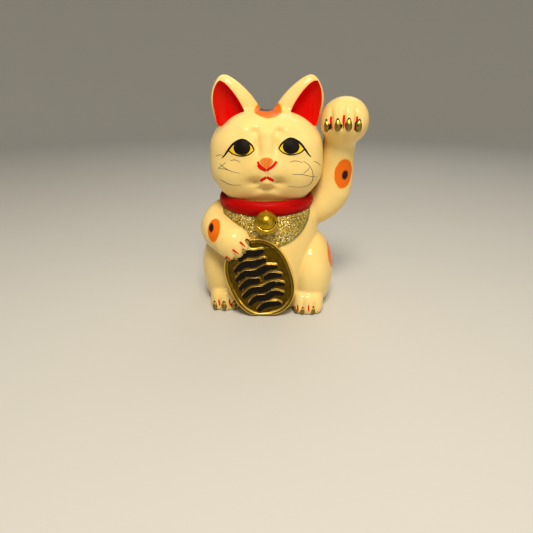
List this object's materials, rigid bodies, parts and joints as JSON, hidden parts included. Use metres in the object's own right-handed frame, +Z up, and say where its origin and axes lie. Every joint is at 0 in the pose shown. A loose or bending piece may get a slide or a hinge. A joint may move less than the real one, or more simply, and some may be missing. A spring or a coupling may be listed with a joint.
{
  "type": "beckoning cat figurine",
  "caption": "Seated glazed ceramic beckoning cat coin bank with one paw raised, an oval plaque under the other, a collar, bib and bell, and a rubber base stopper.",
  "frame": {"origin": "middle of the footprint's bounding box, on the surface the figure stands on", "axes": "+Z up, -Y out of the face, +X towards the raised paw (the cat's left)"},
  "size_m": [0.1572, 0.126, 0.215],
  "materials": {
    "white_glaze": "gloss",
    "red_enamel": "gloss",
    "gold_grit": "satin",
    "gold_lustre": "gloss",
    "old_gold": "satin",
    "black_rubber": "matte"
  },
  "bodies": {
    "figurine": {"torso_shell": "white_glaze", "head_shell": "white_glaze", "left_ear": "white_glaze", "right_ear": "white_glaze", "raised_arm": "white_glaze", "resting_arm": "white_glaze", "left_foot": "white_glaze", "right_foot": "white_glaze", "tail": "white_glaze", "collar": "red_enamel", "bib": "gold_grit", "bell": "gold_lustre", "koban": "old_gold"},
    "stopper": {"base_stopper": "black_rubber"}
  },
  "joints": [
    {"name": "stopper_pull", "type": "slide", "parent": "figurine", "child": "stopper", "axis": [0, 0, -1], "range_m": [0, 0.018]}
  ]
}
